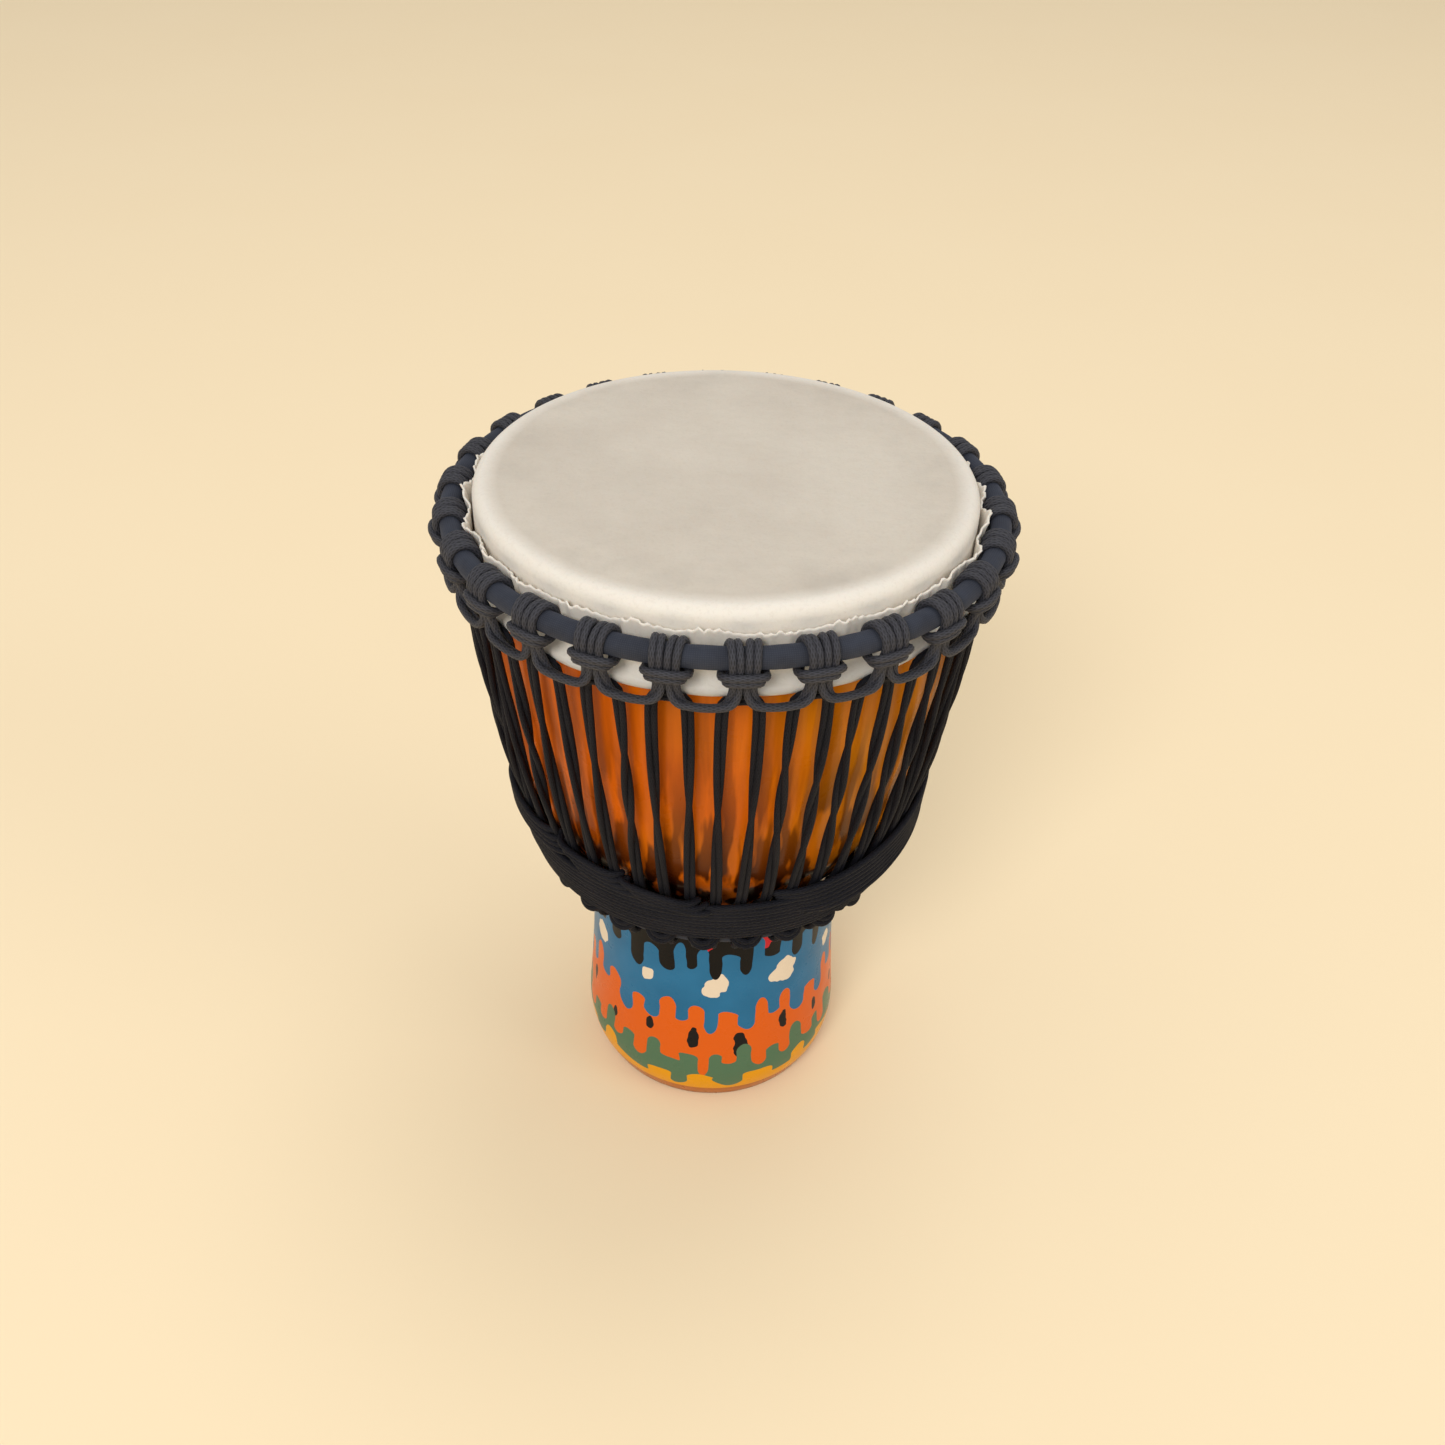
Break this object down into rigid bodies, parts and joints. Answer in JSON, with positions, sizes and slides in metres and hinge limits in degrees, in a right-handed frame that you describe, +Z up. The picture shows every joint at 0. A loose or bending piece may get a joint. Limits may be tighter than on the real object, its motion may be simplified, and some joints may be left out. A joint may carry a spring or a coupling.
{
  "type": "djembe",
  "caption": "Rope-tuned goblet hand drum: hollow lacquered shell with a painted foot, goat-skin head, two cloth-sleeved rings and black braided rope hitched and laced between them.",
  "frame": {"origin": "centre of the foot's flat base, on the floor", "axes": "+Z up along the drum's axis, from the foot to the playing head; the rope ends meet on the +Y side"},
  "size_m": [0.3724, 0.371, 0.5],
  "materials": {
    "shell_lacquer": "gloss clear lacquer over amber stain, painted foot",
    "goat_skin": "dry matt goat skin",
    "ring_steel": "plain round bar",
    "ring_cloth": "tight black cloth sleeve",
    "rope": "black braided rope with a low sheen"
  },
  "bodies": {
    "root": {"shell": "shell_lacquer", "skin": "goat_skin", "flesh_hoop": "ring_steel", "crown_ring_core": "ring_steel", "crown_ring_sleeve": "ring_cloth", "bottom_ring_core": "ring_steel", "bottom_ring_sleeve": "ring_cloth", "top_cradle_rope": "rope", "bottom_cradle_rope": "rope", "tension_rope": "rope", "wrap_rope": "rope"}
  },
  "joints": []
}
